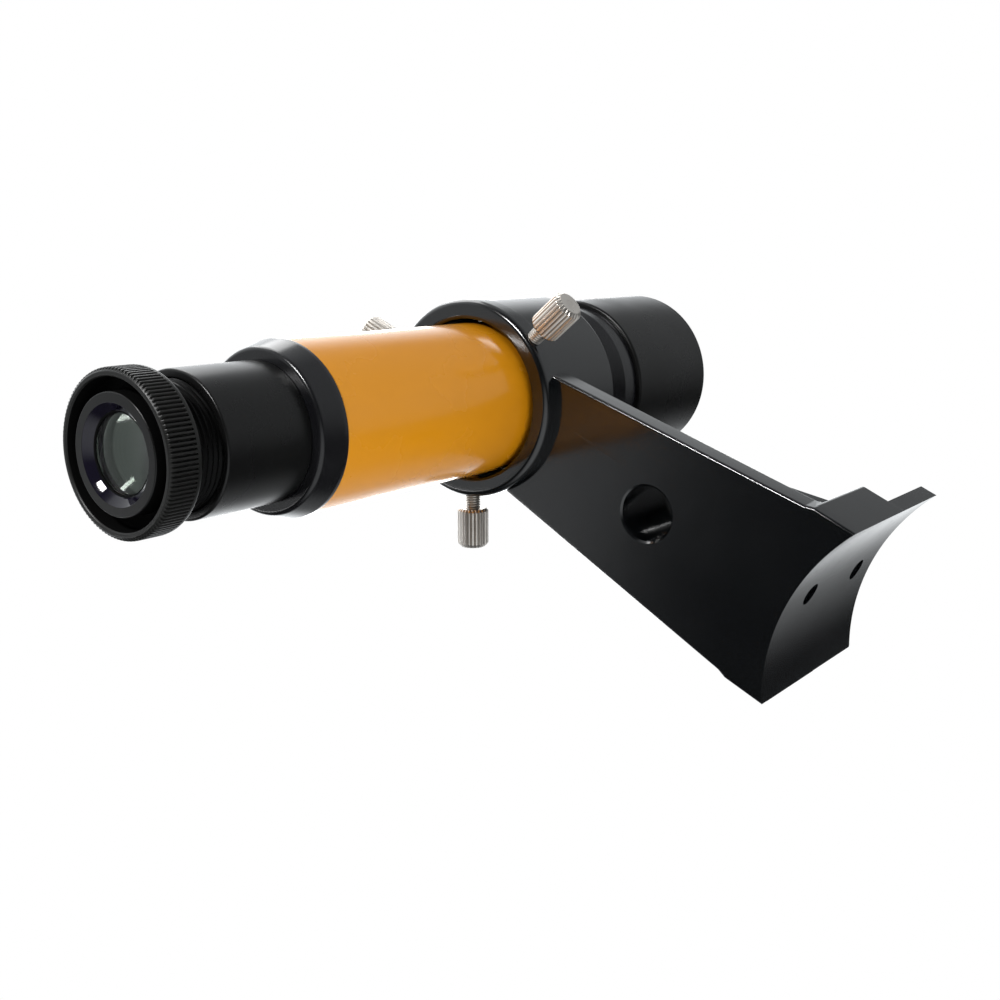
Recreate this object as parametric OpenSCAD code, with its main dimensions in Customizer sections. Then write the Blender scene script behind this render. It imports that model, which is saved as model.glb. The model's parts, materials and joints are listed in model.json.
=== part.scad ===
// Finder scope, 5 x 24, on its one-piece bracket.
// +Y runs along the optical axis from the eye to the sky, +Z is up, and the bracket's
// foot stands on the telescope tube below.  The origin is the centre of the two foot
// holes, on the crown of the saddle.  Places along the optical axis are given as a
// distance from the eyepiece's rear face, and places across it as a radius.

/* [Layout] */
// Height of the optical axis above the saddle's crown
axis_h = 75; // [70:1:90]
// Distance from the eyepiece's rear face to the arm's rear face
arm_at = 86.5; // [84:0.5:90]
// Distance from the arm's rear face to the middle of the foot holes
arm_to_origin = 22; // [22:0.5:26]

/* [Bracket] */
// Outer diameter of the bracket's ring
ring_d = 39.2; // [39:0.2:41]
// Bore of the bracket's ring
ring_bore_d = 31.7; // [31.6:0.1:33]
// Length of the thick band that carries the thumbscrews
band_len = 4.6; // [4.4:0.1:6]
// Length of the whole ring with its forward sleeve
ring_len = 25; // [24.5:0.1:26]
// How far the ring stands proud of the arm's rear face
ring_proud = 3; // [2:0.5:4]
// Outer diameter of the forward sleeve
sleeve_d = 38.8; // [38:0.2:39]
// Thickness of the arm's plate
arm_t = 5.5; // [5:0.5:7]
// Half the arm's width where it runs into the ring
arm_half_top = 13; // [11:0.5:14]
// Half the arm's width at the foot
arm_half_foot = 17.9; // [16:0.1:18]
// Diameter of the blind socket in the arm
socket_d = 10.5; // [8:0.5:12]
// Depth of the blind socket
socket_deep = 8.5; // [6:0.5:9]
// Distance of the socket below the optical axis
socket_drop = 44; // [40:1:50]
// Thickness of the gussets between the arm and the foot
gusset_t = 3; // [2:0.5:4]
// Height of the gussets above the foot
gusset_h = 20; // [12:1:24]
// Distance of each gusset from the middle
gusset_x = 12.5; // [10:0.5:14]

/* [Foot] */
// Radius of the telescope tube that the saddle fits
saddle_r = 40; // [38:1:50]
// Width of the foot
foot_w = 37; // [36:0.5:38]
// Height of the foot's block above the saddle's crown
block_h = 4.5; // [4:0.5:6]
// Length of the foot's block
block_len = 23.5; // [22:0.5:25]
// Thickness of the foot's forward tongue
tongue_t = 3; // [2.5:0.5:4]
// Length of the whole foot
foot_len = 41.5; // [40:0.5:45]
// Diameter of the foot holes
foot_hole_d = 4.5; // [4.2:0.1:5]
// Distance between the foot holes
foot_hole_gap = 22; // [20:1:24]

/* [Tube] */
// Outer diameter of the main tube
tube_d = 29.9; // [29.5:0.1:30.1]
// Wall of the main tube
tube_wall = 1.4; // [1.2:0.1:1.6]
// Rear end of the main tube
tube_from = 34; // [33:0.5:35]
// Front end of the main tube
tube_to = 112; // [108:1:112]
// Place of the baffle in the tube
baffle_at = 72; // [60:1:76]

/* [Eyepiece] */
// Diameter of the knurled focus ring
focus_d = 26; // [25.8:0.1:26.6]
// Length of the focus ring
focus_len = 5.7; // [5.4:0.1:5.9]
// Number of ribs around the focus ring
rib_count = 112; // [72:4:120]
// Inner diameter of the focus ring's lip
lip_d = 23.2; // [22.6:0.1:23.4]
// Diameter of the bezel's face
bezel_d = 18.9; // [18.4:0.1:19]
// Clear opening at the eye lens
eye_d = 12.4; // [11:0.2:12.6]
// Diameter of the eyepiece's threaded neck
neck_d = 20.8; // [20.4:0.1:20.8]
// Outer diameter of the eyepiece barrel
barrel_d = 23.8; // [23.4:0.1:24.2]
// Rear end of the eyepiece barrel
barrel_from = 11.4; // [11.2:0.1:12]
// Place where the barrel meets the rear collar
collar_from = 28.9; // [28.5:0.1:29.3]

/* [Objective] */
// Diameter of the objective lens
objective_d = 24; // [23:0.5:24]
// Outer diameter of the dew shield
shield_d = 36; // [35:0.5:38]
// Front end of the dew shield
shield_to = 150; // [140:1:160]

/* [Thumbscrews] */
// Angle of the two lower screws from straight down
screw_angle = 65; // [60:1:70]
// Diameter of the knurled heads
head_d = 6.3; // [6:0.1:7]
// Length of the knurled heads
head_len = 7.9; // [7:0.1:9]
// Gap between the ring and a head with the screw home
head_gap = 2.7; // [2:0.1:3]
// Thread diameter of the studs
stud_d = 3; // [2.9:0.1:3]
// Number of flutes on a head
flute_count = 24; // [18:2:28]

/* [Hidden] */

$fn = 96;
run_gap = 0.05;          // radial clearance of a piece that turns or slides
cut = 1;                 // how far a cutting shape passes the face that it cuts
black = [0.05, 0.05, 0.055];
satin_black = [0.09, 0.09, 0.095];
orange = [0.86, 0.55, 0.13];
nickel = [0.76, 0.75, 0.72];
glass = [0.72, 0.82, 0.84, 0.5];

// places along Y
eye_y = -arm_to_origin - arm_at;
arm_y = -arm_to_origin;
ring_y = arm_y - ring_proud;
screw_y = ring_y + band_len / 2;
foot_y = arm_y;

// bracket
arm_top = 13;            // the arm starts this far below the optical axis, inside the ring's wall
socket_wall = 2.5;

// tube, collar and barrel
tube_r = tube_d / 2;
tube_bore_r = tube_r - tube_wall;
spigot_r = tube_bore_r - run_gap;
spigot_len = 10;
collar_bore_r = 11.5;
collar_rear_r = 13;
joint_r = tube_r + 0.15; // collar and cell stand this proud where they meet the tube
barrel_r = barrel_d / 2;
neck_r = neck_d / 2;
barrel_bore_r = neck_r + run_gap;
barrel_shoulder = 26;    // inner shoulder that stops the eyepiece cell
barrel_spigot_r = 10.9;
barrel_to = 32;
reticle_r = 9.5;
reticle_hole_r = 7;
wire_r = 0.06;
baffle_hole_r = 9;
reticle_from = barrel_to + 0.15;
reticle_to = reticle_from + 1.5;
retainer_to = reticle_to + 1.5;

// eyepiece
cell_to = 23.5;
lens_r = 6.9;
cell_bore_r = lens_r + 0.1;
bezel_t = 2.8;
lens_seat = 1.6;         // place of the bezel's shoulder behind the eye lens
eye_apex = 0.9;          // place of the eye lens's rear vertex
eye_curve_r = 25;
eye_lens_to = 5.2;
rib_from = 0.35;
rib_deep = 0.45;
rib_to = focus_len - 0.85;
field_from = 14;
field_to = 17;

// objective
shield_r = shield_d / 2;
boss_r = 15.9;           // threaded front boss of the objective cell
boss_to = 134;
flange_r = 17;
flange_to = 121;
objective_r = objective_d / 2;
stop_from = 124;
stop_to = stop_from + 0.8;
rim_from = 126;
rim_to = 128.2;
bulge_room = 0.12;       // room for the lens's rear face inside its spacer

// O-ring
o_section_r = 1.25;
o_mid_r = tube_r + run_gap + o_section_r;
o_at = 104;
o_seat_r = o_mid_r + o_section_r + run_gap;
o_seat_half = 1.9;

// thumbscrews
stud_r = stud_d / 2;
stud_tip = tube_r + 0.6;
head_from = ring_d / 2 + head_gap;
head_bore_deep = 5;

// A place along the optical axis, from a distance in front of the eyepiece's rear face
module on_axis(at = 0)
    translate([0, eye_y + at, axis_h])
        rotate([-90, 0, 0])
            children();

// A turned piece: points are [radius, distance from the eyepiece's rear face]
module turned(points)
    on_axis()
        rotate_extrude()
            polygon(points);

// A plain turned ring between two radii and two places
module plain_ring(r_in, r_out, from, to)
    turned([[r_in, from], [r_out, from], [r_out, to], [r_in, to]]);

// Points of a spherical lens face from the rim to the axis; way is +1 or -1
function lens_face(r, curve_r, rim, way, steps = 12) = [
    for (i = [0 : steps])
        let (x = r * (1 - i / steps))
        [x, rim + way * (sqrt(curve_r * curve_r - x * x) - sqrt(curve_r * curve_r - r * r))]
];

// Closed outline of a wheel with straight-sided ribs
function ribbed_outline(count, root_r, crest_r, crest_part, flank_part) = [
    for (i = [0 : count - 1])
        let (pitch = 360 / count, mid = i * pitch)
        for (edge = [-1, 1])
            for (k = edge < 0 ? [1, 0] : [0, 1])
                let (
                    a = mid + edge * pitch * (crest_part / 2 + k * flank_part),
                    r = k == 1 ? root_r : crest_r
                )
                [r * cos(a), r * sin(a)]
];

// ---------------------------------------------------------------- bracket

// Places children on the axis of a thumbscrew, with Z pointing outwards
module on_screw(angle)
    translate([0, screw_y, axis_h])
        rotate([0, angle, 0])
            children();

module bracket_ring()
    translate([0, ring_y, axis_h])
        rotate([-90, 0, 0])
            rotate_extrude()
                polygon([
                    [0, 0], [ring_d / 2 - 0.8, 0], [ring_d / 2, 0.8],
                    [ring_d / 2, band_len - 0.6], [sleeve_d / 2, band_len],
                    [sleeve_d / 2, ring_len - 1.2], [sleeve_d / 2 - 1.2, ring_len],
                    [0, ring_len]
                ]);

module bracket_bore()
    translate([0, ring_y, axis_h])
        rotate([-90, 0, 0])
            rotate_extrude()
                polygon([
                    [0, -cut], [ring_bore_d / 2 + cut + 0.6, -cut], [ring_bore_d / 2, 0.6],
                    [ring_bore_d / 2, ring_len - 0.6],
                    [ring_bore_d / 2 + cut + 0.6, ring_len + cut], [0, ring_len + cut]
                ]);

module o_ring_seat()
    plain_ring(0, o_seat_r, o_at - o_seat_half, o_at + o_seat_half);

module arm_plate()
    translate([0, arm_y + arm_t, axis_h])
        rotate([90, 0, 0])
            linear_extrude(arm_t)
                polygon([
                    [-arm_half_top, -arm_top], [arm_half_top, -arm_top],
                    [arm_half_foot, -axis_h + block_h], [arm_half_foot, -axis_h + block_h / 2],
                    [-arm_half_foot, -axis_h + block_h / 2], [-arm_half_foot, -axis_h + block_h]
                ]);

module gusset(x)
    translate([x - gusset_t / 2, 0, 0])
        rotate([90, 0, 90])
            linear_extrude(gusset_t)
                polygon([
                    [arm_y + arm_t - 1, block_h - 1], [foot_y + block_len - 2, block_h - 1],
                    [foot_y + block_len - 2, block_h + 1], [arm_y + arm_t, block_h + gusset_h],
                    [arm_y + arm_t - 1, block_h + gusset_h]
                ]);

module foot_solid()
    difference() {
        union() {
            translate([-foot_w / 2, foot_y, -saddle_r / 4])
                cube([foot_w, block_len, block_h + saddle_r / 4]);
            intersection() {
                translate([-foot_w / 2, foot_y, -saddle_r / 4])
                    cube([foot_w, foot_len, saddle_r]);
                translate([0, foot_y, -saddle_r])
                    rotate([-90, 0, 0])
                        cylinder(r = saddle_r + tongue_t, h = foot_len);
            }
        }
        translate([0, foot_y - cut, -saddle_r])
            rotate([-90, 0, 0])
                cylinder(r = saddle_r, h = foot_len + 2 * cut, $fn = 180);
    }

module bracket()
    color(black)
        difference() {
            union() {
                bracket_ring();
                arm_plate();
                foot_solid();
                gusset(-gusset_x);
                gusset(gusset_x);
                translate([0, arm_y + arm_t - cut, axis_h - socket_drop])
                    rotate([-90, 0, 0])
                        cylinder(d = socket_d + 2 * socket_wall, h = cut + socket_deep + 1.5 - arm_t);
            }
            bracket_bore();
            o_ring_seat();
            for (angle = [0, 180 - screw_angle, 180 + screw_angle])
                on_screw(angle)
                    cylinder(r = stud_r + run_gap, h = ring_d, $fn = 48);
            translate([0, arm_y - cut, axis_h - socket_drop])
                rotate([-90, 0, 0])
                    cylinder(d = socket_d, h = socket_deep + cut);
            for (side = [-1, 1])
                translate([0, side * foot_hole_gap / 2, -cut])
                    cylinder(d = foot_hole_d, h = block_h + 2 * cut, $fn = 48);
        }

module pivot_o_ring()
    color(satin_black)
        on_axis(o_at)
            rotate_extrude()
                translate([o_mid_r, 0])
                    circle(r = o_section_r, $fn = 48);

// ---------------------------------------------------------------- tube

module main_tube()
    color(orange)
        turned([
            [tube_bore_r, tube_from], [tube_r - 0.2, tube_from], [tube_r, tube_from + 0.2],
            [tube_r, tube_to - 0.2], [tube_r - 0.2, tube_to], [tube_bore_r, tube_to]
        ]);

module rear_collar()
    color(black)
        turned([
            [barrel_spigot_r, collar_from], [collar_rear_r, collar_from],
            [collar_rear_r + 0.6, collar_from + 0.5], [joint_r, tube_from - 0.8],
            [joint_r, tube_from], [spigot_r, tube_from], [spigot_r, tube_from + spigot_len],
            [collar_bore_r, tube_from + spigot_len], [collar_bore_r, tube_from + 3],
            [reticle_r, tube_from + 2], [reticle_r, barrel_to],
            [barrel_spigot_r, barrel_to]
        ]);

module eyepiece_barrel()
    color(satin_black)
        turned([
            [barrel_bore_r, barrel_from], [barrel_r - 0.4, barrel_from],
            [barrel_r, barrel_from + 0.4], [barrel_r, collar_from],
            [barrel_spigot_r, collar_from], [barrel_spigot_r, barrel_to],
            [reticle_hole_r + 0.5, barrel_to], [reticle_hole_r + 0.5, barrel_shoulder],
            [barrel_bore_r, barrel_shoulder]
        ]);

module reticle_ring()
    color(nickel)
        plain_ring(reticle_hole_r, reticle_r - run_gap, reticle_from, reticle_to);

module crosswires()
    color(satin_black)
        on_axis(barrel_to + 0.08)
            for (turn = [0, 90])
                rotate([0, 90, turn])
                    cylinder(r = wire_r, h = 2 * (reticle_r - 1), center = true, $fn = 16);

module reticle_retainer()
    color(black)
        turned([
            [reticle_hole_r + 0.5, reticle_to], [reticle_r - run_gap, reticle_to],
            [reticle_r - run_gap, retainer_to], [reticle_hole_r + 1, retainer_to]
        ]);

module baffle_ring()
    color(satin_black)
        turned([
            [baffle_hole_r, baffle_at], [spigot_r, baffle_at - 1], [spigot_r, baffle_at + 2],
            [spigot_r - 0.8, baffle_at + 2], [spigot_r - 0.8, baffle_at + 0.4],
            [baffle_hole_r, baffle_at + 0.4]
        ]);

// ---------------------------------------------------------------- objective end

module objective_cell()
    color(black)
        turned([
            [objective_r - 0.2, tube_to - spigot_len], [spigot_r, tube_to - spigot_len],
            [spigot_r, tube_to], [joint_r, tube_to], [joint_r, tube_to + 0.8],
            [flange_r, tube_to + 4.5], [flange_r, flange_to], [boss_r, flange_to],
            [boss_r, boss_to], [objective_r + run_gap, boss_to],
            [objective_r + run_gap, stop_from], [objective_r - 1, stop_from],
            [objective_r - 1, tube_to + 2], [objective_r - 0.2, tube_to]
        ]);

module dew_shield()
    color(black)
        turned([
            [boss_r + run_gap, flange_to], [shield_r - 0.6, flange_to],
            [shield_r, flange_to + 0.6], [shield_r, shield_to - 1],
            [shield_r - 1, shield_to], [boss_r + 1, shield_to], [boss_r + 0.7, shield_to - 0.5],
            [boss_r + 0.7, boss_to], [boss_r + run_gap, boss_to]
        ]);

module aperture_stop()
    color(satin_black)
        plain_ring(objective_r - 2, objective_r - run_gap, stop_from, stop_to);

module objective_spacer()
    color(satin_black)
        plain_ring(objective_r - 0.8, objective_r - run_gap, stop_to, rim_from - bulge_room);

module objective_lens() {
    front_face = lens_face(objective_r - run_gap, 60, rim_to, 1);
    rear_face = lens_face(objective_r - run_gap, 90, rim_from, -1);
    last = len(rear_face) - 1;
    color(glass)
        turned(concat(front_face, [for (i = [0 : last]) rear_face[last - i]]));
}

module objective_retaining_ring()
    color(satin_black)
        turned([
            [objective_r - 1.1, rim_to + 0.25], [objective_r, rim_to + 0.25],
            [objective_r, rim_to + 2.3], [objective_r - 0.6, rim_to + 2.3]
        ]);

// ---------------------------------------------------------------- eyepiece

module focus_ring()
    color(black)
        difference() {
            union() {
                turned([
                    [0, 0.4], [0, focus_len], [focus_d / 2 - 0.5, focus_len],
                    [focus_d / 2 - 0.1, focus_len - 0.3], [focus_d / 2 - 0.1, rib_to],
                    [focus_d / 2 - 0.7, rib_to - 0.1], [focus_d / 2 - 0.7, 0],
                    [lip_d / 2 - 0.3, 0], [lip_d / 2 - 0.5, 0.4]
                ]);
                on_axis(rib_from)
                    linear_extrude(rib_to - rib_from + 0.05)
                        polygon(ribbed_outline(rib_count, focus_d / 2 - rib_deep, focus_d / 2, 0.35, 0.2));
            }
            plain_ring(0, lip_d / 2, -cut, 3.4);
            plain_ring(0, bezel_d / 2, 3, focus_len + cut);
        }

module eyepiece_cell()
    color(satin_black)
        turned([
            [cell_bore_r, bezel_t], [bezel_d / 2, bezel_t], [bezel_d / 2, focus_len],
            [neck_r, focus_len], [neck_r, cell_to - 0.4], [neck_r - 0.4, cell_to],
            [cell_bore_r, cell_to]
        ]);

module eye_bezel()
    color(black)
        turned([
            [eye_d / 2, lens_seat], [eye_d / 2, 1.3], [eye_d / 2 + 0.3, 1.1],
            [eye_d / 2 + 1.5, 0], [bezel_d / 2 - 0.3, 0], [bezel_d / 2, 0.3],
            [bezel_d / 2, bezel_t], [cell_bore_r, bezel_t], [cell_bore_r, lens_seat]
        ]);

module eye_lens()
    color(glass)
        turned(concat(
            [[0, eye_lens_to], [lens_r, eye_lens_to]],
            lens_face(lens_r, eye_curve_r,
                eye_apex + eye_curve_r - sqrt(eye_curve_r * eye_curve_r - lens_r * lens_r), -1)
        ));

module lens_spacer()
    color(satin_black)
        plain_ring(lens_r - 0.7, lens_r, eye_lens_to, field_from);

module field_lens()
    color(glass)
        turned(concat([[0, field_from], [lens_r, field_from]], lens_face(lens_r, 18, field_to, 1)));

module field_lens_retainer()
    color(satin_black)
        turned([
            [lens_r - 1.1, field_to + 0.5], [lens_r, field_to + 0.5],
            [lens_r, field_to + 2.4], [lens_r - 0.6, field_to + 2.4]
        ]);

// ---------------------------------------------------------------- thumbscrews

module stud(angle)
    color(nickel)
        on_screw(angle)
            translate([0, 0, stud_tip])
                rotate_extrude($fn = 48)
                    polygon([
                        [0, 0], [stud_r - 0.4, 0], [stud_r, 0.4],
                        [stud_r, head_from + head_bore_deep - stud_tip - 0.2],
                        [0, head_from + head_bore_deep - stud_tip - 0.2]
                    ]);

module head(angle)
    color(nickel)
        on_screw(angle)
            translate([0, 0, head_from])
                difference() {
                    intersection() {
                        linear_extrude(head_len)
                            polygon(ribbed_outline(flute_count, head_d / 2 - 0.3, head_d / 2, 0.4, 0.15));
                        rotate_extrude()
                            polygon([
                                [0, 0], [head_d / 2 - 0.5, 0], [head_d / 2 + 0.01, 0.5],
                                [head_d / 2 + 0.01, head_len - 0.8],
                                [head_d / 2 - 0.8, head_len], [0, head_len]
                            ]);
                    }
                    translate([0, 0, -cut])
                        cylinder(r = stud_r + run_gap, h = head_bore_deep + cut, $fn = 48);
                }

module stud_left() stud(180 + screw_angle);
module head_left() head(180 + screw_angle);
module stud_right() stud(180 - screw_angle);
module head_right() head(180 - screw_angle);
module stud_top() stud(0);
module head_top() head(0);

bracket();
pivot_o_ring();
main_tube();
rear_collar();
eyepiece_barrel();
reticle_ring();
crosswires();
reticle_retainer();
baffle_ring();
objective_cell();
dew_shield();
aperture_stop();
objective_spacer();
objective_lens();
objective_retaining_ring();
focus_ring();
eyepiece_cell();
eye_bezel();
eye_lens();
lens_spacer();
field_lens();
field_lens_retainer();
stud_left();
head_left();
stud_right();
head_right();
stud_top();
head_top();
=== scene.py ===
# Finder scope: the finish of each piece, the light, the floor and the camera, around the
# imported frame.  Lengths are in millimetres until a mesh is made, which is in metres.
# Along the optical axis a place is its distance from the eyepiece's rear face.
import json
import math

import bmesh
import bpy
from mathutils import Matrix, Vector


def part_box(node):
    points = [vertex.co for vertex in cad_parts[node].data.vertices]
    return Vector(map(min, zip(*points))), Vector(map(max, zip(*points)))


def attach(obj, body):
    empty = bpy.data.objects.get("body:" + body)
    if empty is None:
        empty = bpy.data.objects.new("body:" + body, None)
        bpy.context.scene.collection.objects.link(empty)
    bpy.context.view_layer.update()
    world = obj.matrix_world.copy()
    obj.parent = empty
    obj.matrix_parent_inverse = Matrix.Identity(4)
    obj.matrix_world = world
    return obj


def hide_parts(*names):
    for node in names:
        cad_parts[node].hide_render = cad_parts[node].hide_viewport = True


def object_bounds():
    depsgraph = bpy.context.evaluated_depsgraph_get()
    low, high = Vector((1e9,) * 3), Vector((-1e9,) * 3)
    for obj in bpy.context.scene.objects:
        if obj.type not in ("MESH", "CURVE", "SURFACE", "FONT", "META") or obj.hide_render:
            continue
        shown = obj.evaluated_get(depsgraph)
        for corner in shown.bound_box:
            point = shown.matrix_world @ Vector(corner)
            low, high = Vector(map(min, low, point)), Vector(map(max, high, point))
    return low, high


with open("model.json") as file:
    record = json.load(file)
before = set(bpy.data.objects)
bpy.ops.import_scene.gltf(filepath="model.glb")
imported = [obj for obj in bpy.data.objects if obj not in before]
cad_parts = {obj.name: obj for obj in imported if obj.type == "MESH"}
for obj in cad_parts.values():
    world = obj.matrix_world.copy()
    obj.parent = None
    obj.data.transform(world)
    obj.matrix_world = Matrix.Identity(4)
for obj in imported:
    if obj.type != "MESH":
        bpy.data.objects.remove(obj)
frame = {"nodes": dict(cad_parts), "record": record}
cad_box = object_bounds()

MM = 0.001
TURN = 2 * math.pi
SIDES = ("left", "right", "top")           # the three thumbscrews
JOINTS = {joint["name"]: joint for joint in frame["record"]["behaviour"]["joints"]}

# ------------------------------------------------------------------ places in the frame


def low(node):
    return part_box(node)[0] / MM


def high(node):
    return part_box(node)[1] / MM


EYE_Y = low("eye_bezel").y
AXIS_Z = (low("main_tube").z + high("main_tube").z) / 2
EYE = Vector((0, EYE_Y, AXIS_Z)) * MM
OPTICAL = Matrix.Translation(EYE) @ Matrix.Rotation(-TURN / 4, 4, "X")


def span(node):
    """Where a node starts and ends along the optical axis."""
    return low(node).y - EYE_Y, high(node).y - EYE_Y


def radius(node):
    """The outer radius of a round node on the optical axis."""
    return high(node).x


def screw_place(side):
    """The frame of a thumbscrew: origin on the optical axis, local Z outwards."""
    joint = JOINTS[f"screw_{side}_turn"]
    outwards = Vector(joint["axis"])
    origin = Vector((0, joint["pos_m"][1], AXIS_Z * MM))
    return Matrix.Translation(origin) @ outwards.to_track_quat("Z", "Y").to_matrix().to_4x4()


# ------------------------------------------------------------------ mesh building


def rounded(points, steps=4):
    """A closed outline whose corners (x, y, fillet) are turned into arcs."""
    out = []
    for i, point in enumerate(points):
        here = Vector(point[:2])
        fillet = point[2] if len(point) > 2 else 0
        back = Vector(points[i - 1][:2]) - here
        ahead = Vector(points[(i + 1) % len(points)][:2]) - here
        corner = back.angle(ahead)
        if fillet == 0 or corner > math.pi - 0.02:
            out.append(here)
            continue
        reach = min(fillet / math.tan(corner / 2), 0.48 * back.length, 0.48 * ahead.length)
        back.normalize()
        ahead.normalize()
        arc_r = reach * math.tan(corner / 2)
        centre = here + (back + ahead).normalized() * (arc_r / math.sin(corner / 2))
        first = here + back * reach - centre
        last = here + ahead * reach - centre
        sweep = first.angle(last)
        for k in range(steps + 1):
            t = k / steps
            spoke = first * math.sin((1 - t) * sweep) + last * math.sin(t * sweep)
            out.append(centre + spoke / math.sin(sweep))
    return out


def finish_mesh(name, bm, sharp=32):
    """Turns a bmesh into a smooth-shaded mesh whose real corners stay crisp."""
    bmesh.ops.recalc_face_normals(bm, faces=bm.faces)
    mesh = bpy.data.meshes.new(name)
    bm.to_mesh(mesh)
    bm.free()
    mesh.shade_smooth()
    mesh.set_sharp_from_angle(angle=math.radians(sharp))
    return mesh


def spun(name, outline, place, turns=144, shape=None, zone=None):
    """Turns a closed outline of (radius, along) about the local Z axis of place.

    shape(angle, r, along) gives the radius at one angle and a crest value from 0 to 1;
    zone(r, along) gives the material index of the faces there.
    """
    bm = bmesh.new()
    crest = bm.verts.layers.float.new("crest")
    rings = []
    for r, along in outline:
        ring = []
        for k in range(turns if r > 1e-6 else 1):
            angle = TURN * k / turns
            real_r, height = shape(angle, r, along) if shape else (r, 1.0)
            local = Vector((real_r * math.cos(angle), real_r * math.sin(angle), along))
            vert = bm.verts.new(place @ (local * MM))
            vert[crest] = height
            ring.append(vert)
        rings.append(ring)
    for i, ring in enumerate(rings):
        after = rings[(i + 1) % len(rings)]
        for k in range(turns):
            corners = [
                ring[k % len(ring)],
                ring[(k + 1) % len(ring)],
                after[(k + 1) % len(after)],
                after[k % len(after)],
            ]
            corners = list(dict.fromkeys(corners))
            if len(corners) < 3:
                continue
            face = bm.faces.new(corners)
            if zone:
                r = (outline[i][0] + outline[(i + 1) % len(outline)][0]) / 2
                along = (outline[i][1] + outline[(i + 1) % len(outline)][1]) / 2
                face.material_index = zone(r, along)
    return finish_mesh(name, bm)


def slab(name, outline, thick, edge, place, steps=4):
    """A flat plate with rounded edges: the outline lies in local XY and is thick along Z."""
    bm = bmesh.new()
    count = len(outline)
    area = sum(
        outline[i - 1][0] * outline[i][1] - outline[i][0] * outline[i - 1][1] for i in range(count)
    )
    side = 1 if area > 0 else -1
    inward = []
    for i, here in enumerate(outline):
        before = (Vector(here) - Vector(outline[i - 1])).normalized()
        after = (Vector(outline[(i + 1) % count]) - Vector(here)).normalized()
        normals = [Vector((-d.y, d.x)) * side for d in (before, after)]
        mean = (normals[0] + normals[1]).normalized()
        inward.append(mean / max(0.4, mean.dot(normals[0])))
    levels = [(edge * (1 - math.sin(a)), edge * (1 - math.cos(a)))
              for a in [TURN / 4 * k / steps for k in range(steps + 1)]]
    levels += [(inset, thick - height) for inset, height in reversed(levels)]
    rings = []
    for inset, height in levels:
        rings.append([
            bm.verts.new(place @ (Vector((p[0] + n.x * inset, p[1] + n.y * inset, height)) * MM))
            for p, n in zip(outline, inward)
        ])
    for lower, upper in zip(rings, rings[1:]):
        for k in range(count):
            bm.faces.new([lower[k - 1], lower[k], upper[k], upper[k - 1]])
    bm.faces.new(rings[0])
    bm.faces.new(rings[-1])
    return finish_mesh(name, bm)


def fused(name, solids, cutters):
    """One mesh from overlapping solids, less the cutters."""
    made = bpy.data.objects.new(name, solids[0])
    bpy.context.scene.collection.objects.link(made)
    tools = []
    jobs = [("UNION", mesh) for mesh in solids[1:]] + [("DIFFERENCE", mesh) for mesh in cutters]
    for operation, mesh in jobs:
        tool = bpy.data.objects.new("tool", mesh)
        bpy.context.scene.collection.objects.link(tool)
        tools.append(tool)
        boolean = made.modifiers.new(operation, "BOOLEAN")
        boolean.operation = operation
        boolean.object = tool
        boolean.solver = "MANIFOLD"
    graph = bpy.context.evaluated_depsgraph_get()
    mesh = bpy.data.meshes.new_from_object(made.evaluated_get(graph))
    for obj in [made, *tools]:
        bpy.data.objects.remove(obj)
    bm = bmesh.new()
    bm.from_mesh(mesh)
    bmesh.ops.remove_doubles(bm, verts=bm.verts, dist=0.002 * MM)
    bmesh.ops.dissolve_degenerate(bm, edges=bm.edges, dist=0.002 * MM)
    bpy.data.meshes.remove(mesh)
    return finish_mesh(name, bm)


def piece(name, mesh, finishes, body, slot, *nodes):
    """Adds a mesh to the scene with its finishes, on its body, for the nodes it replaces."""
    obj = bpy.data.objects.new(name, mesh)
    bpy.context.scene.collection.objects.link(obj)
    for finish in finishes:
        mesh.materials.append(finish)
    weights = obj.modifiers.new("weighted_normals", "WEIGHTED_NORMAL")
    weights.keep_sharp = True
    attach(obj, body)
    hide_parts(*nodes)
    return obj


# ------------------------------------------------------------------ materials


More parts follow.
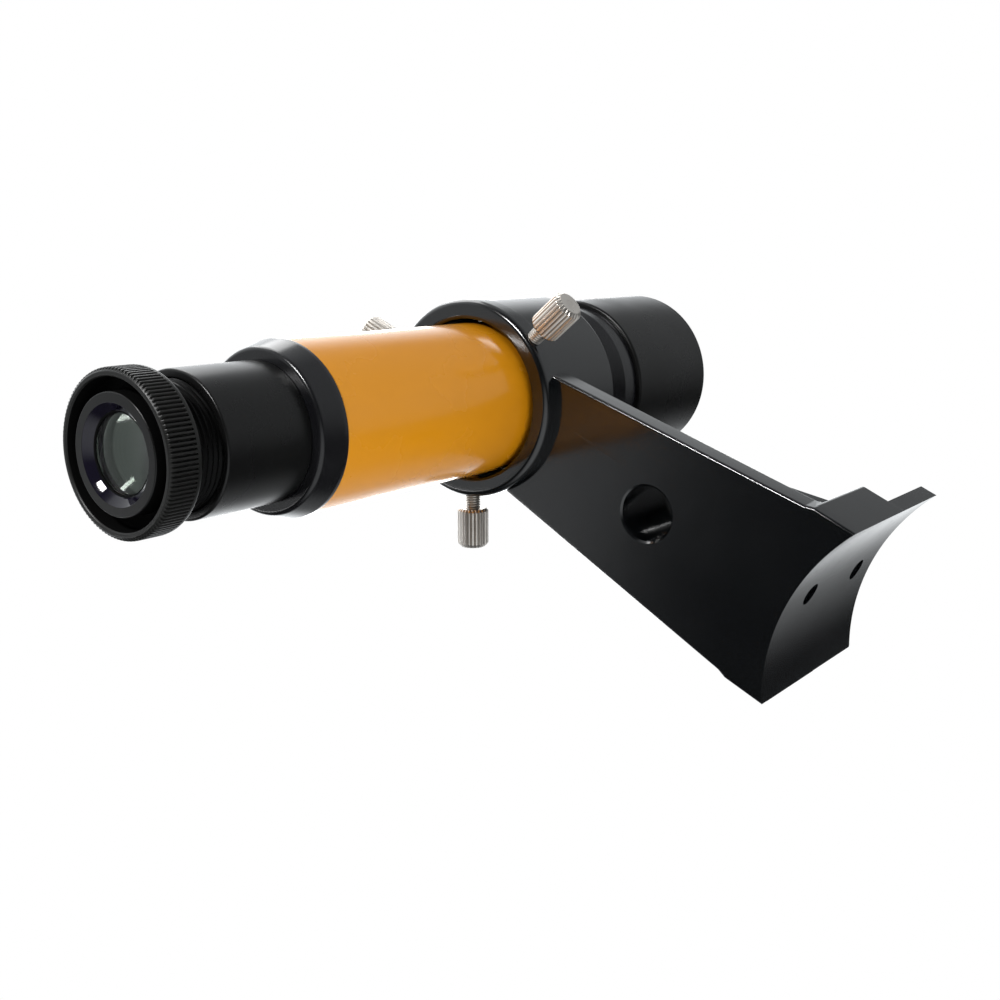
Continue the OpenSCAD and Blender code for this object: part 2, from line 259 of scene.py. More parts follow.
class Finish:
    """A Principled material and short calls that add nodes to it."""

    def __init__(self, name, colour, roughness, metallic=0.0):
        self.material = bpy.data.materials.new(name)
        self.material.use_nodes = True
        self.nodes = self.material.node_tree.nodes
        self.links = self.material.node_tree.links
        self.shader = self.nodes["Principled BSDF"]
        self.colour = colour
        self.set("Base Color", (*colour, 1))
        self.set("Roughness", roughness)
        self.set("Metallic", metallic)
        self.coordinates = self.nodes.new("ShaderNodeTexCoord").outputs["Object"]

    def set(self, socket, value):
        self.shader.inputs[socket].default_value = value

    def noise(self, scale, detail=4.0, stretch=(1, 1, 1)):
        """Noise with features about 1/scale metres across, drawn out along an axis."""
        mapping = self.nodes.new("ShaderNodeMapping")
        mapping.inputs["Scale"].default_value = stretch
        self.links.new(self.coordinates, mapping.inputs["Vector"])
        noise = self.nodes.new("ShaderNodeTexNoise")
        noise.inputs["Scale"].default_value = scale
        noise.inputs["Detail"].default_value = detail
        self.links.new(mapping.outputs["Vector"], noise.inputs["Vector"])
        return noise.outputs["Fac"]

    def ramp(self, value, low_at, high_at, low_to, high_to):
        """Maps a value from one range to another, clamped."""
        node = self.nodes.new("ShaderNodeMapRange")
        for socket, number in zip(
            ("From Min", "From Max", "To Min", "To Max"), (low_at, high_at, low_to, high_to)
        ):
            node.inputs[socket].default_value = number
        self.links.new(value, node.inputs["Value"])
        return node.outputs["Result"]

    def join(self, first, second, operation="MULTIPLY"):
        node = self.nodes.new("ShaderNodeMath")
        node.operation = operation
        self.links.new(first, node.inputs[0])
        self.links.new(second, node.inputs[1])
        return node.outputs["Value"]

    def tint(self, factor, colour):
        """Mixes the base colour towards another one by a factor."""
        mix = self.nodes.new("ShaderNodeMix")
        mix.data_type = "RGBA"
        linked = self.shader.inputs["Base Color"].links
        if linked:
            self.links.new(linked[0].from_socket, mix.inputs["A"])
        else:
            mix.inputs["A"].default_value = (*self.colour, 1)
        mix.inputs["B"].default_value = (*colour, 1)
        self.links.new(factor, mix.inputs["Factor"])
        self.links.new(mix.outputs["Result"], self.shader.inputs["Base Color"])

    def rough(self, value):
        self.links.new(value, self.shader.inputs["Roughness"])

    def bump(self, height, depth):
        """Adds a bump of a real depth in metres over any bump before it."""
        node = self.nodes.new("ShaderNodeBump")
        node.inputs["Distance"].default_value = depth
        linked = self.shader.inputs["Normal"].links
        if linked:
            self.links.new(linked[0].from_socket, node.inputs["Normal"])
        self.links.new(height, node.inputs["Height"])
        self.links.new(node.outputs["Normal"], self.shader.inputs["Normal"])

    def scratches(self, strength):
        """Hairline marks: noise drawn out along one axis, only its peaks kept."""
        return self.ramp(self.noise(600, 2.0, (1, 1, 0.03)), 0.66, 0.74, 0.0, strength)


def paint_finish():
    """Glossy golden-orange enamel: faint orange peel, dust and a slight fade."""
    m = Finish("orange_enamel", (0.575, 0.222, 0.005), 0.26)
    m.set("Specular IOR Level", 0.25)
    m.set("Coat Weight", 0.45)
    m.set("Coat Roughness", 0.07)
    m.tint(m.ramp(m.noise(22, 3), 0.35, 0.7, 0.0, 0.3), (0.62, 0.25, 0.01))
    m.tint(m.ramp(m.noise(1500, 2), 0.72, 0.8, 0.0, 0.2), (0.40, 0.17, 0.02))
    m.rough(m.ramp(m.noise(60, 5), 0.3, 0.7, 0.20, 0.32))
    m.bump(m.noise(650, 2), 0.000004)
    return m.material


def gloss_finish(name, colour, low_rough, high_rough, wave=0.00001, shine=0.5):
    """Polished moulded plastic: soft waviness, hairlines and a little dust."""
    m = Finish(name, colour, low_rough)
    m.set("Specular IOR Level", shine)
    m.tint(m.ramp(m.noise(900, 3), 0.70, 0.82, 0.0, 0.08), (0.05, 0.05, 0.05))
    base = m.ramp(m.noise(45, 5), 0.3, 0.7, low_rough, high_rough)
    m.rough(m.join(base, m.scratches(0.08), "ADD"))
    m.bump(m.noise(120, 2), wave)
    return m.material


def satin_finish(name, colour, low_rough, high_rough, grain=0.000006, shine=0.5):
    """Satin moulded plastic with a fine spark-eroded grain."""
    m = Finish(name, colour, low_rough)
    m.set("Specular IOR Level", shine)
    m.tint(m.ramp(m.noise(30, 4), 0.35, 0.7, 0.0, 0.4), tuple(c * 1.7 for c in colour))
    m.rough(m.ramp(m.noise(80, 5), 0.3, 0.7, low_rough, high_rough))
    m.bump(m.noise(4200, 3), grain)
    return m.material


def nickel_finish():
    """Bright nickel plate: painted shade darkens it in the grooves, which are rougher too; the
    crests keep the bright colour.
    """
    m = Finish("nickel_plate", (0.86, 0.81, 0.75), 0.32, 1.0)
    crest = m.nodes.new("ShaderNodeAttribute")
    crest.attribute_name = "crest"
    # painted shade: the base colour darkens towards the bottom of each flute and thread groove
    groove = m.ramp(crest.outputs["Fac"], 0.0, 0.8, 0.75, 0.0)
    m.tint(groove, (0.22, 0.20, 0.18))
    m.tint(m.ramp(m.noise(350, 4), 0.45, 0.75, 0.0, 0.4), (0.62, 0.58, 0.53))
    worn = m.ramp(m.noise(500, 4), 0.3, 0.7, 0.26, 0.42)
    m.rough(m.join(worn, m.ramp(groove, 0, 1, 0, 0.2), "ADD"))
    m.bump(m.noise(2500, 3), 0.000004)
    return m.material


def anodised_finish():
    """Black anodised aluminium with fine rings left by turning."""
    m = Finish("black_anodised", (0.018, 0.018, 0.019), 0.45, 0.3)
    rings = m.nodes.new("ShaderNodeTexWave")
    rings.bands_direction = "Y"
    rings.inputs["Scale"].default_value = 900
    rings.inputs["Distortion"].default_value = 0.4
    m.links.new(m.coordinates, rings.inputs["Vector"])
    m.rough(m.ramp(m.noise(200, 4), 0.3, 0.7, 0.35, 0.6))
    m.bump(rings.outputs["Fac"], 0.00001)
    return m.material


def rubber_finish():
    """Dull black rubber, slightly greyed."""
    m = Finish("o_ring_rubber", (0.022, 0.022, 0.022), 0.65)
    m.tint(m.ramp(m.noise(300, 4), 0.4, 0.7, 0.0, 0.5), (0.05, 0.05, 0.048))
    m.rough(m.ramp(m.noise(500, 3), 0.3, 0.7, 0.55, 0.8))
    m.bump(m.noise(3000, 3), 0.00001)
    return m.material


def glass_finish(name, sheen, low_rough, high_rough):
    """Coated optical glass: the coating tints its reflections; faint dust dulls it."""
    m = Finish(name, (0.97, 0.99, 0.98), 0.0)
    m.set("Transmission Weight", 1.0)
    m.set("IOR", 1.52)
    m.set("Specular Tint", (*sheen, 1))
    m.rough(m.ramp(m.noise(300, 3), 0.3, 0.8, low_rough, high_rough))
    return m.material


def floor_finish(clear_from, clear_to):
    """Pale studio paper that melts into the white tent between two distances."""
    m = Finish("studio_paper", (0.93, 0.93, 0.93), 0.85)
    m.tint(m.ramp(m.noise(9, 4), 0.3, 0.7, 0.0, 0.15), (0.89, 0.89, 0.90))
    m.bump(m.noise(500, 3), 0.00004)
    distance = m.nodes.new("ShaderNodeVectorMath")
    distance.operation = "LENGTH"
    m.links.new(m.coordinates, distance.inputs[0])
    m.links.new(m.ramp(distance.outputs["Value"], clear_from, clear_to, 1.0, 0.0),
                m.shader.inputs["Alpha"])
    return m.material


ENAMEL = paint_finish()
BRACKET = gloss_finish("bracket_black", (0.002, 0.0025, 0.003), 0.12, 0.18, 0.00002, 0.95)
GLOSS = gloss_finish("gloss_black", (0.005, 0.005, 0.006), 0.14, 0.22, shine=0.6)
POLISHED = gloss_finish("polished_black", (0.006, 0.005, 0.011), 0.03, 0.06, 0.000004)
RIBBED = satin_finish("ring_black", (0.007, 0.007, 0.0065), 0.30, 0.42, shine=0.33)
SATIN = satin_finish("satin_black", (0.004, 0.004, 0.004), 0.24, 0.34, shine=0.34)
THREAD = satin_finish("thread_black", (0.002, 0.002, 0.002), 0.25, 0.40, shine=0.08)
# dull black for the insides of the tube, collar, barrel, cell and shield; in the focus ring's moat
# it is painted shade
DULL_BLACK_AND_SHADE = satin_finish("inner_black_and_moat_shade", (0.003, 0.003, 0.003), 0.60, 0.80, shine=0.05)
NICKEL = nickel_finish()
ANODISED = anodised_finish()
RUBBER = rubber_finish()
EYE_GLASS = glass_finish("eye_glass", (0.80, 1.0, 0.82), 0.04, 0.09)
SKY_GLASS = glass_finish("objective_glass", (0.62, 0.66, 1.0), 0.0, 0.03)

# ------------------------------------------------------------------ bracket


def upright(y):
    """A plate that stands across the optical axis: local XY is world XZ, Z runs to -Y."""
    return Matrix.Translation((0, y * MM, 0)) @ Matrix.Rotation(TURN / 4, 4, "X")


def along_y(y, z):
    """Local Z runs forward along +Y from a point in the middle plane."""
    return Matrix.Translation((0, y * MM, z * MM)) @ Matrix.Rotation(-TURN / 4, 4, "X")


def cylinder(r, length, place, flare=0.0):
    """A plain cutter along local Z, with an optional countersink at its start."""
    outline = [(0, -1), (r + flare + 1, -1), (r, flare), (r, length), (0, length)]
    return spun("cutter", outline, place, 64)


def arc(r, half, steps=24):
    """Points (x, height) of an arc about the origin, from x = +half to -half."""
    limit = math.asin(half / r)
    angles = [limit - 2 * limit * k / steps for k in range(steps + 1)]
    return [(r * math.sin(a), r * math.cos(a)) for a in angles]


def bracket_mesh():
    """The moulding: a ring, a tapering arm, and a foot with its saddle and two gussets."""
    mounts = {mount["name"]: mount["dims"] for mount in frame["record"]["mounts"]}
    ring_r, tongue_front = high("bracket").x, high("bracket").y
    ring_y = low("bracket").y
    bore_r, sleeve_r = 15.85, 19.4
    band_len, ring_len = 4.6, 25
    seat_r = radius("pivot_o_ring") + 0.05
    seat_side = 0.65
    seat_from = low("pivot_o_ring").y - seat_side - ring_y
    seat_to = high("pivot_o_ring").y + seat_side - ring_y
    arm_y, arm_t = ring_y + 3, 5.5
    arm_top, arm_half = 13, 17.9
    cradle_r = 18.4
    foot_top, foot_half = 4.5, 18.5
    side_in = 0.03                       # keeps overlapping solids from sharing a face
    saddle_r = mounts["tube_saddle"]["r_mm"]
    under = -saddle_r / 4                # below the saddle, which cuts it away
    block_front = arm_y + 23.5
    gusset_t, gusset_h = 3, 20
    socket_z = AXIS_Z - 44
    socket_r, socket_deep = 5.25, 8.5
    boss_r, boss_len = 7.9, 5.5
    stud_bore = 1.56

    ring = spun("ring", rounded([
        (bore_r, 0, 0.8), (ring_r, 0, 1.2), (ring_r, band_len - 0.2, 0.2),
        (sleeve_r, band_len, 0.2), (sleeve_r, ring_len, 1.1), (bore_r, ring_len, 0.5),
        (bore_r, seat_to), (seat_r, seat_to, 0.2), (seat_r, seat_from, 0.2), (bore_r, seat_from),
    ]), along_y(ring_y, AXIS_Z), 192)
    cradle = [(x, AXIS_Z - z) for x, z in arc(cradle_r, arm_top)]
    arm_foot = foot_half - side_in
    arm = slab("arm", rounded([
        (-arm_half, foot_top + 1, 1.5), (-arm_foot, foot_top - 0.8, 1), (-arm_foot, under),
        (arm_foot, under), (arm_foot, foot_top - 0.8, 1), (arm_half, foot_top + 1, 1.5), *cradle,
    ]), arm_t, 0.6, upright(arm_y + arm_t))
    block = slab("block", rounded([
        (-foot_half, under + 1), (foot_half, under + 1), (foot_half, foot_top, 0.8),
        (-foot_half, foot_top, 0.8),
    ]), block_front - arm_y - 2, 0.5, upright(block_front))
    tongue_half, tongue_t = foot_half - 2 * side_in, 3
    upper = [(x, z - saddle_r) for x, z in arc(saddle_r + tongue_t, tongue_half)]
    tongue = slab("tongue", [(-tongue_half, under + 2), (tongue_half, under + 2), *upper],
                  tongue_front - block_front + 4, 0.4, upright(tongue_front))
    saddle = spun("saddle", [(0, 0), (saddle_r, 0), (saddle_r, 60), (0, 60)],
                  along_y(arm_y - 8, -saddle_r), 240)
    gusset_outline = rounded([
        (arm_y + arm_t - 1.5, foot_top - 1.5), (block_front - 2, foot_top - 1.5),
        (block_front - 2, foot_top + 0.8, 0.6), (arm_y + arm_t + 0.4, foot_top + gusset_h, 1.5),
        (arm_y + arm_t - 1.5, foot_top + gusset_h),
    ])
    sideways = Matrix(((0, 0, 1, 0), (1, 0, 0, 0), (0, 1, 0, 0), (0, 0, 0, 1)))
    gussets = [
        slab("gusset", gusset_outline, gusset_t, 0.4,
             Matrix.Translation((x * MM, 0, 0)) @ sideways)
        for x in (-14, 11)
    ]
    boss = spun("boss", rounded([(0, 0), (boss_r, 0), (boss_r, boss_len, 0.8), (0, boss_len)]),
                along_y(arm_y + arm_t - 1, socket_z), 96)
    cutters = [saddle, cylinder(socket_r, socket_deep, along_y(arm_y, socket_z), 0.35)]
    cutters += [
        cylinder(stud_bore, 30, screw_place(side) @ Matrix.Translation((0, 0, 5 * MM)))
        for side in SIDES
    ]
    half_gap = mounts["foot_bolts"]["spacing_y_mm"] / 2
    for y in (-half_gap, half_gap):
        place = Matrix.Translation((0, y * MM, foot_top * MM)) @ Matrix.Rotation(TURN / 2, 4, "X")
        cutters.append(cylinder(mounts["foot_bolts"]["hole_r_mm"], 8, place))
    return fused("bracket_moulding", [ring, arm, block, tongue, *gussets, boss], cutters)


piece("bracket_moulding", bracket_mesh(), [BRACKET], "bracket", "bracket_plastic", "bracket")

# ------------------------------------------------------------------ tube


def seam_o_ring():
    """The pivot O-ring with the faint flash line of its mould."""
    start, end = span("pivot_o_ring")
    section = (end - start) / 2
    middle_r = radius("pivot_o_ring") - section
    outline = []
    for k in range(32):
        angle = TURN * k / 32
        r = section - (0.05 if k % 16 else 0.0)
        outline.append((middle_r + r * math.cos(angle), (start + end) / 2 + r * math.sin(angle)))
    return spun("o_ring", outline, OPTICAL)


def tube_mesh():
    """The tube: enamelled outside and at its ends, dull black inside."""
    start, end = span("main_tube")
    r = radius("main_tube")
    bore = r - 1.4
    outline = rounded([
        (bore, start, 0.2), (r, start, 0.4), (r, end, 0.4), (bore, end, 0.2),
    ])
    return spun("enamelled_tube", outline, OPTICAL, 192,
                zone=lambda x, s: 0 if x > bore + 0.4 else 1)


def collar_mesh():
    """The rear collar: a rounded shoulder outside, seats for the barrel and tube inside."""
    start, end = span("rear_collar")
    rim = span("main_tube")[0]
    r = radius("rear_collar")
    shoulder_r = radius("eyepiece_barrel") + 2
    barrel_seat, barrel_stop = 10.95, start + 3.1
    spigot_r, bore_r, throat_r = 13.5, 11.5, 9.5
    return spun("collar", rounded([
        (barrel_seat, start, 0.1), (shoulder_r, start, 0.9), (r, rim - 0.8, 0.8), (r, rim, 0.15),
        (spigot_r, rim), (spigot_r, end, 0.3), (bore_r, end, 0.3), (bore_r, rim + 3),
        (throat_r, rim + 2), (throat_r, barrel_stop), (barrel_seat, barrel_stop),
    ]), OPTICAL, 160, zone=lambda x, s: 1 if s > rim + 0.2 else 0)


def barrel_mesh():
    """The eyepiece barrel, whose spigot sits in the rear collar."""
    start, end = span("eyepiece_barrel")
    meets = span("rear_collar")[0] - 0.05
    r = radius("eyepiece_barrel")
    bore, bore_to = radius("eyepiece_cell") + 0.05, 26
    spigot_r, throat_r = 10.9, 7.5
    return spun("barrel", rounded([
        (bore, start, 0.25), (r, start, 0.45), (r, meets, 0.08), (spigot_r, meets),
        (spigot_r, end), (throat_r, end, 0.1), (throat_r, bore_to, 0.2), (bore, bore_to),
    ]), OPTICAL, 144, zone=lambda x, s: 1 if x < bore + 0.05 and s > start + 0.4 else 0)


def cell_mesh():
    """The objective cell: a spigot in the tube, a flared body and a thread for the shield."""
    start, end = span("objective_cell")
    rim = span("main_tube")[1]
    flange = span("dew_shield")[0]
    r = radius("objective_cell")
    seat = span("aperture_stop")[0]
    bore = radius("objective_lens") + 0.02
    spigot_r, spigot_bore, stop_r = 13.5, 11.8, 11
    joint_r, thread_r = 15.1, 15.9
    flare_from, flare_to = rim + 0.8, rim + 4.5
    return spun("objective_cell_body", rounded([
        (spigot_bore, start, 0.2), (spigot_r, start, 0.2), (spigot_r, rim), (joint_r, rim, 0.1),
        (joint_r, flare_from, 0.4), (r, flare_to, 0.6), (r, flange, 0.3), (thread_r, flange),
        (thread_r, end, 0.3), (bore, end, 0.2), (bore, seat), (stop_r, seat, 0.1),
        (stop_r, rim + 2, 0.3), (spigot_bore, rim),
    ]), OPTICAL, 160, zone=lambda x, s: 1 if x < 12.6 or s < rim - 0.1 else 0)


def shield_mesh():
    """The dew shield, ribbed inside to kill stray light."""
    start, end = span("dew_shield")
    thread_r, thread_to = 15.95, span("objective_cell")[1]
    r = radius("dew_shield")
    inner, mouth_r = 16.6, 16.95
    pitch, rib_deep = 1.0, 0.28

    def zone(x, s):
        return 1 if x < mouth_r and thread_to - 0.1 < s < end - 0.4 else 0

    ribs = []
    for k in range(int((end - thread_to - 2) / pitch), 0, -1):
        at = thread_to + 0.5 + k * pitch
        ribs += [(inner, at), (inner + rib_deep, at - pitch / 2)]
    return spun("shield", rounded([
        (thread_r, start), (r, start, 0.6), (r, end, 1.0), (mouth_r, end, 0.6),
        (inner, end - 0.9), *ribs, (inner, thread_to + 0.2), (thread_r, thread_to, 0.1),
    ]), OPTICAL, 176, zone=zone)


def lens_face(r, curve_r, rim, way, steps=10):
    """Points of a spherical face from its rim to the axis."""
    drop = math.sqrt(curve_r ** 2 - r ** 2)
    xs = [r * (1 - k / steps) for k in range(steps + 1)]
    return [(x, rim + way * (math.sqrt(curve_r ** 2 - x ** 2) - drop)) for x in xs]


def lens_mesh(name, rear, front):
    """A lens from two faces, each a list from rim to axis, the rear one first."""
    return spun(name, [*front, *reversed(rear)], OPTICAL, 96)


piece("pivot_ring_rubber", seam_o_ring(), [RUBBER], "pivot", "o_ring_rubber", "pivot_o_ring")
piece("tube_enamelled", tube_mesh(), [ENAMEL, DULL_BLACK_AND_SHADE], "tube", "tube_paint", "main_tube")
piece("collar_turned", collar_mesh(), [GLOSS, DULL_BLACK_AND_SHADE], "tube", "gloss_plastic", "rear_collar")
piece("barrel_turned", barrel_mesh(), [SATIN, DULL_BLACK_AND_SHADE], "tube", "satin_plastic", "eyepiece_barrel")
piece("objective_cell_turned", cell_mesh(), [GLOSS, DULL_BLACK_AND_SHADE], "tube", "gloss_plastic",
      "objective_cell")
piece("shield_turned", shield_mesh(), [SATIN, DULL_BLACK_AND_SHADE], "tube", "satin_plastic", "dew_shield")
rim_r = radius("objective_lens")
rim_from = span("objective_spacer")[1]
RIM_THICK = 2.2
REAR_CURVE, FRONT_CURVE = 90, 60
piece("objective_glass", lens_mesh(
    "objective_glass", lens_face(rim_r, REAR_CURVE, rim_from, -1),
    lens_face(rim_r, FRONT_CURVE, rim_from + RIM_THICK, 1),
), [SKY_GLASS], "tube", "optical_glass", "objective_lens")

# ------------------------------------------------------------------ eyepiece


def wave_part(turns, count):
    """Where an angle falls within one of count equal parts, from 0 to 1."""
    return (turns * count) % 1.0


def rib_height(fraction, crest, flank):
    """Height, 0 to 1, of a rounded rib at a fraction of its pitch."""
    off = abs(fraction - 0.5) - crest / 2
    t = min(1.0, max(0.0, 1 - off / flank))
    return t * t * (3 - 2 * t)


def focus_ring_mesh():
    """The knurled focus ring, a cup with a moat round the bezel; the moat is dull black, as
    painted shade.
    """
    r = radius("focus_ring")
    end = span("focus_ring")[1]
    hub = radius("eye_bezel")
    lip, moat_floor = 11.6, 3.4
    rib_from, rib_to, rib_deep, ribs = 0.25, end - 0.85, 0.45, 112

    def shape(angle, x, s):
        if x < r - 0.001 or s > rib_to + 0.001:
            return x, 1.0
        slope = 1 - min(1.0, (s - rib_from) / 0.5)
        crest = rib_deep - 0.32 * (1 - math.sqrt(1 - slope * slope))
        height = rib_height(wave_part(angle / TURN, ribs), 0.36, 0.28)
        return r - rib_deep + crest * height, height

    rows = [(r, rib_from + (rib_to - rib_from) * (k / 12) ** 1.5) for k in range(13)]
    front = rounded([
        (r - 0.1, end - 0.15), (hub, end), (hub, moat_floor), (lip, moat_floor, 0.35),
        (lip, 0.2, 0.15), (lip + 0.2, 0, 0.12), (r - 0.65, 0, 0.2), (r - rib_deep - 0.02, 0.15),
    ])
    rear = [(r - 0.09, rib_to + 0.04), (r - 0.06, end - 0.45), (r - 0.2, end - 0.1)]
    # the moat and the bore take the dull black (index 1): painted shade in the moat
    return spun("knurled", [*front[1:], *rows, *rear], OPTICAL, ribs * 8, shape,
                zone=lambda x, s: 1 if x < lip + 0.02 and s > 0.35 else 0)


def threaded(name, outline_start, outline_end, r, start, end, pitch, deep, place, turns):
    """A turned piece with a helical thread of radius r between start and end."""
    steps = int((end - start) / pitch * 8)
    rows = [(r, start + (end - start) * k / steps) for k in range(steps + 1)]

    def shape(angle, x, s):
        if abs(x - r) > 0.001 or s <= start or s >= end:
            return x, 1.0
        height = rib_height((s / pitch - angle / TURN) % 1.0, 0.16, 0.42)
        fade = min(1.0, (s - start) / pitch, (end - s) / pitch)
        return x - deep * (1 - height) * fade, height

    return spun(name, [*outline_start, *rows, *outline_end], place, turns, shape)


def eyepiece_cell_mesh():
    """The cell that holds the eyepiece's lenses, with the focusing thread on its neck."""
    start, end = span("eyepiece_cell")
    neck_from = span("focus_ring")[1]
    r = radius("eyepiece_cell")
    hub, bore = radius("eye_bezel"), 7.0
    pitch, thread_deep = 1.0, 0.33
    return threaded(
        "neck", [(bore, end), (bore, start), (hub, start), (hub, neck_from), (r, neck_from)],
        [(r - 0.3, end)], r, neck_from + 0.5, end - 0.5, pitch, thread_deep, OPTICAL, 144,
    )


def bezel_mesh():
    """The satin bezel with its polished bowl down to the eye lens."""
    r = radius("eye_bezel")
    end = span("eye_bezel")[1]
    seat, opening, bore = 1.6, 6.2, 7.0
    bowl_r, bowl_deep = 7.82, 1.22

    def zone(x, s):
        if x > r - 0.02 or s > bowl_deep - 0.02:
            return 2
        return 1 if x < bowl_r - 0.02 else 0

    return spun("bezel", rounded([
        (r, end), (r, 0.04, 0.25), (bowl_r, 0.02, 0.1), (opening + 0.42, 1.08, 0.5),
        (opening + 0.3, bowl_deep, 0.05), (opening + 0.06, 1.3, 0.05),
        (opening, seat - 0.04, 0.05), (opening + 0.1, seat), (bore, seat), (bore, end),
    ]), OPTICAL, 144, zone=zone)


def sag(curve_r, r):
    """How far a spherical face of a given curve stands out over its rim."""
    return curve_r - math.sqrt(curve_r ** 2 - r ** 2)


piece("focus_ring_knurled", focus_ring_mesh(), [RIBBED, DULL_BLACK_AND_SHADE], "eyepiece", "gloss_plastic",
      "focus_ring")
piece("eyepiece_neck", eyepiece_cell_mesh(), [THREAD], "eyepiece", "satin_plastic",
      "eyepiece_cell")
piece("bezel_disc", bezel_mesh(), [SATIN, POLISHED, DULL_BLACK_AND_SHADE], "eyepiece", "gloss_plastic",
      "eye_bezel")
EYE_CURVE, FIELD_CURVE = 25, 18
eye_r = radius("eye_lens")
eye_from, eye_to = span("eye_lens")
field_from, field_to = span("field_lens")
piece("eye_lens_glass", lens_mesh(
    "eye_lens_glass", lens_face(eye_r, EYE_CURVE, eye_from + sag(EYE_CURVE, eye_r), -1),
    [(eye_r, eye_to), (0, eye_to)],
), [EYE_GLASS], "eyepiece_optics", "optical_glass", "eye_lens")
piece("field_lens_glass", lens_mesh(
    "field_lens_glass", [(eye_r, field_from), (0, field_from)],
    lens_face(eye_r, FIELD_CURVE, field_to - sag(FIELD_CURVE, eye_r), 1),
), [EYE_GLASS], "eyepiece_optics", "optical_glass", "field_lens")

# ------------------------------------------------------------------ thumbscrews


def head_mesh(side, start, end, r):
    """A fluted head with a chamfered end and a small turning dimple."""
    flutes, deep = 24, 0.32
    stud_r, stud_to = 1.56, start + 5

    def shape(angle, x, s):
        height = rib_height(wave_part(angle / TURN, flutes), 0.30, 0.32)
        reach = min(1.0, max(0.0, (x - r + 1.0) / 0.9))
        return x - deep * (1 - height) * reach, 1 - (1 - height) * reach

    return spun(f"head_{side}", rounded([
        (0, end - 0.12), (0.7, end - 0.1, 0.1), (0.85, end, 0.1), (r - 0.75, end, 0.25),
        (r, end - 0.75, 0.3), (r, start + 4), (r, start + 0.5, 0.2), (r - 0.5, start, 0.15),
        (stud_r, start, 0.1), (stud_r, stud_to), (0, stud_to),
    ]), screw_place(side), flutes * 10, shape)


def stud_mesh(side, start, end, r):
    """An M3 stud, threaded along its whole length."""
    pitch, thread_deep = 0.5, 0.28
    return threaded(
        f"stud_{side}", [(0, start), (r - 0.5, start), (r, start + 0.45)], [(r, end), (0, end)],
        r, start + 0.5, end - 0.1, pitch, thread_deep, screw_place(side), 48,
    )


top_stud = (low("stud_top").z - AXIS_Z, high("stud_top").z - AXIS_Z)
top_head = (low("head_top").z - AXIS_Z, high("head_top").z - AXIS_Z)
for side in SIDES:
    piece(f"stud_{side}_threaded", stud_mesh(side, *top_stud, high("stud_top").x), [NICKEL],
          f"screw_{side}_stud", "nickel", f"stud_{side}")
    piece(f"head_{side}_fluted", head_mesh(side, *top_head, high("head_top").x), [NICKEL],
          f"screw_{side}_head", "nickel", f"head_{side}")

# ------------------------------------------------------------------ inner CAD nodes

TURNED_INSIDE = (
    "reticle_ring", "reticle_retainer", "baffle_ring", "aperture_stop", "objective_spacer",
    "objective_retaining_ring", "lens_spacer", "field_lens_retainer",
)
INNER_FINISHES = {**dict.fromkeys(TURNED_INSIDE, ANODISED), "crosswires": NICKEL}
for node, finish in INNER_FINISHES.items():
    obj = frame["nodes"][node]
    obj.data.materials.clear()
    obj.data.materials.append(finish)

# ------------------------------------------------------------------ stage, light, camera


def add_floor():
    """A pale floor below the scope, which hangs as if on its telescope."""
    drop, half = 0.13, 1.2
    mesh = bpy.data.meshes.new("floor")
    mesh.from_pydata([(-half, -half, 0), (half, -half, 0), (half, half, 0), (-half, half, 0)],
                     [], [(0, 1, 2, 3)])
    floor = bpy.data.objects.new("floor", mesh)
    floor.location = (MIDDLE.x, MIDDLE.y, cad_box[0].z - drop)
    bpy.context.scene.collection.objects.link(floor)
    floor.visible_glossy = False
    mesh.materials.append(floor_finish(0.2, 0.9))


def add_world():
    """The room the scope is lit by: dim, with bright walls that fade in by direction.

    The camera itself sees plain white.
    """
    world = bpy.data.worlds.new("tent")
    bpy.context.scene.world = world
    world.use_nodes = True
    nodes, links = world.node_tree.nodes, world.node_tree.links
    nodes.clear()
    where = nodes.new("ShaderNodeTexCoord").outputs["Generated"]
    total = None
    for aim, fade_from, fade_to, strength in BRIGHT_WALLS:
        dot = nodes.new("ShaderNodeVectorMath")
        dot.operation = "DOT_PRODUCT"
        dot.inputs[1].default_value = Vector(aim).normalized()
        links.new(where, dot.inputs[0])
        fade = nodes.new("ShaderNodeMapRange")
        fade.interpolation_type = "SMOOTHSTEP"
        fade.inputs["From Min"].default_value = fade_from
        fade.inputs["From Max"].default_value = fade_to
        fade.inputs["To Max"].default_value = strength
        links.new(dot.outputs["Value"], fade.inputs["Value"])
        add = nodes.new("ShaderNodeMath")
        if total:
            links.new(total, add.inputs[0])
        else:
            add.inputs[0].default_value = ROOM_LIGHT
        links.new(fade.outputs["Result"], add.inputs[1])
        total = add.outputs["Value"]
    lit = nodes.new("ShaderNodeBackground")
    lit.inputs["Color"].default_value = (0.95, 0.98, 1.0, 1)
    links.new(total, lit.inputs["Strength"])
    seen = nodes.new("ShaderNodeBackground")
    seen.inputs["Color"].default_value = (1, 1, 1, 1)
    path = nodes.new("ShaderNodeLightPath")
    mix = nodes.new("ShaderNodeMixShader")
    out = nodes.new("ShaderNodeOutputWorld")
    links.new(path.outputs["Is Camera Ray"], mix.inputs["Fac"])
    links.new(lit.outputs["Background"], mix.inputs[1])
    links.new(seen.outputs["Background"], mix.inputs[2])
    links.new(mix.outputs["Shader"], out.inputs["Surface"])


def aimed(place, target, up):
    """The frame of a lamp or camera that looks along its local -Z, with up upright."""
    back = (place - target).normalized()
    right = up.cross(back).normalized()
    turn = Matrix((right, back.cross(right), back)).transposed().to_4x4()
    return Matrix.Translation(place) @ turn


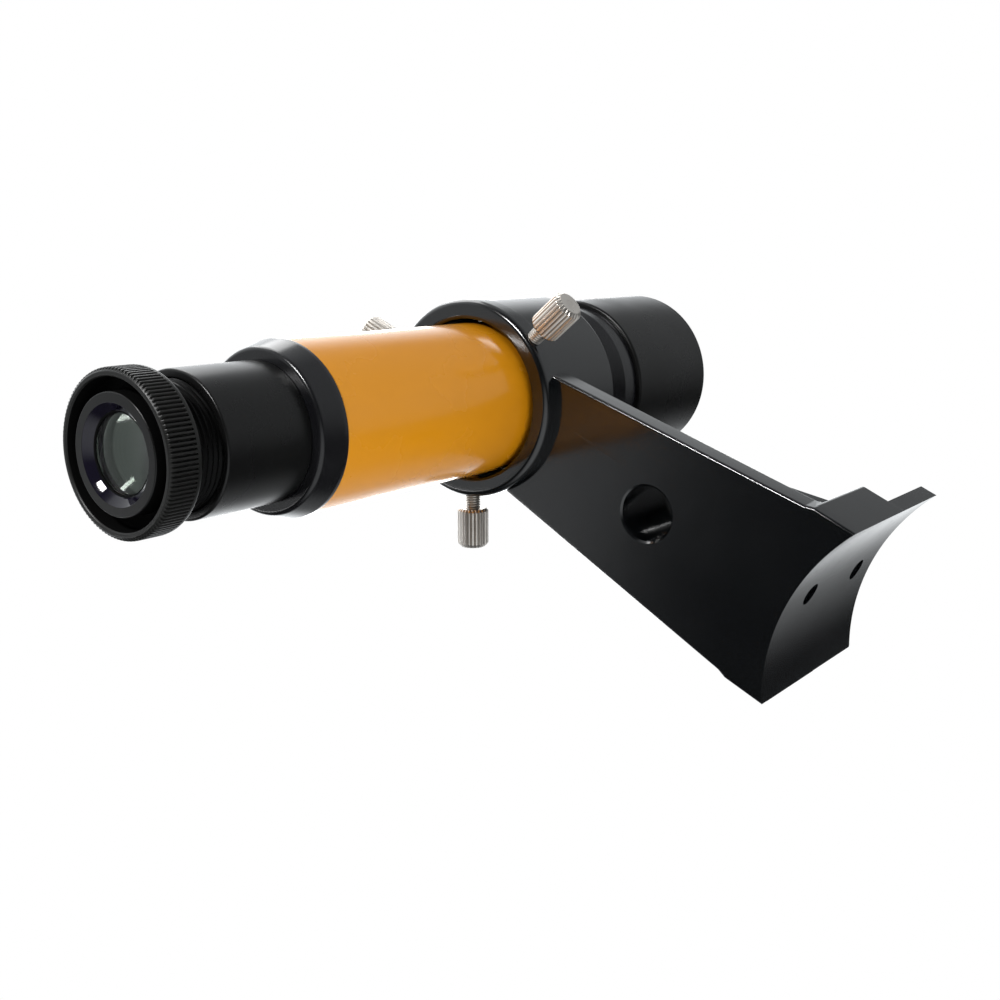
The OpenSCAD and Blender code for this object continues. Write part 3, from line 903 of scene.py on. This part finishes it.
def add_softbox(name, place, target, size, power, up=Vector((0, 0, 1)), through_glass=True):
    """A rectangular lamp of a size in metres and a power in watts."""
    light = bpy.data.lights.new(name, "AREA")
    light.shape = "RECTANGLE"
    light.size, light.size_y = size
    light.energy = power
    obj = bpy.data.objects.new(name, light)
    bpy.context.scene.collection.objects.link(obj)
    obj.matrix_world = aimed(place, target, up)
    obj.visible_camera = False
    obj.visible_transmission = through_glass


def add_camera(place, target, up, focal_mm):
    data = bpy.data.cameras.new("camera")
    data.sensor_width = 36
    data.lens = focal_mm
    data.clip_start = 0.01
    cam = bpy.data.objects.new("camera", data)
    bpy.context.scene.collection.objects.link(cam)
    cam.matrix_world = aimed(place, target, up)
    bpy.context.scene.camera = cam


MIDDLE = (cad_box[0] + cad_box[1]) / 2
ROOM_LIGHT = 0.03
BRIGHT_WALLS = [                         # direction, fade from and to (cosines), strength
    ((-0.40, 0.65, 0.65), 0.60, 0.93, 1.5),
    ((-0.75, 0.66, 0.00), 0.72, 0.96, 0.38),
    ((-0.30, -0.30, 0.90), 0.655, 0.76, 0.5),
    ((-0.30, -0.55, -0.75), 0.60, 0.95, 0.8),
    ((0.30, 0.10, 0.95), 0.55, 0.95, 0.6),
    ((0.75, 0.55, -0.20), 0.45, 0.95, 0.4),
]
add_floor()
add_world()
add_softbox("lamp", EYE + Vector((0.60, -0.73, 0.33)) * 0.55, EYE, (0.05, 0.17), 2.4,
            Vector((-0.07, 0.37, 0.93)))
add_softbox("strip", EYE + Vector((-0.665, -0.535, 0.505)) * 0.6, EYE, (0.02, 0.22), 0.13,
            Vector((-0.39, 0.83, 0.39)))
add_softbox("top", MIDDLE + Vector((0.25, 0.1, 0.55)), MIDDLE, (0.5, 0.3), 1.8,
            through_glass=False)
add_softbox("rim", MIDDLE + Vector((-0.25, 0.5, 0.35)), MIDDLE, (0.4, 0.4), 2.0,
            through_glass=False)
add_camera(
    EYE + Vector((0.094, -0.1148, -0.1279)), MIDDLE + Vector((-0.0087, -0.001, 0.0034)),
    Vector((0.603, 0.456, 0.655)), 46.0,
)
bpy.context.scene.view_settings.view_transform = "Standard"
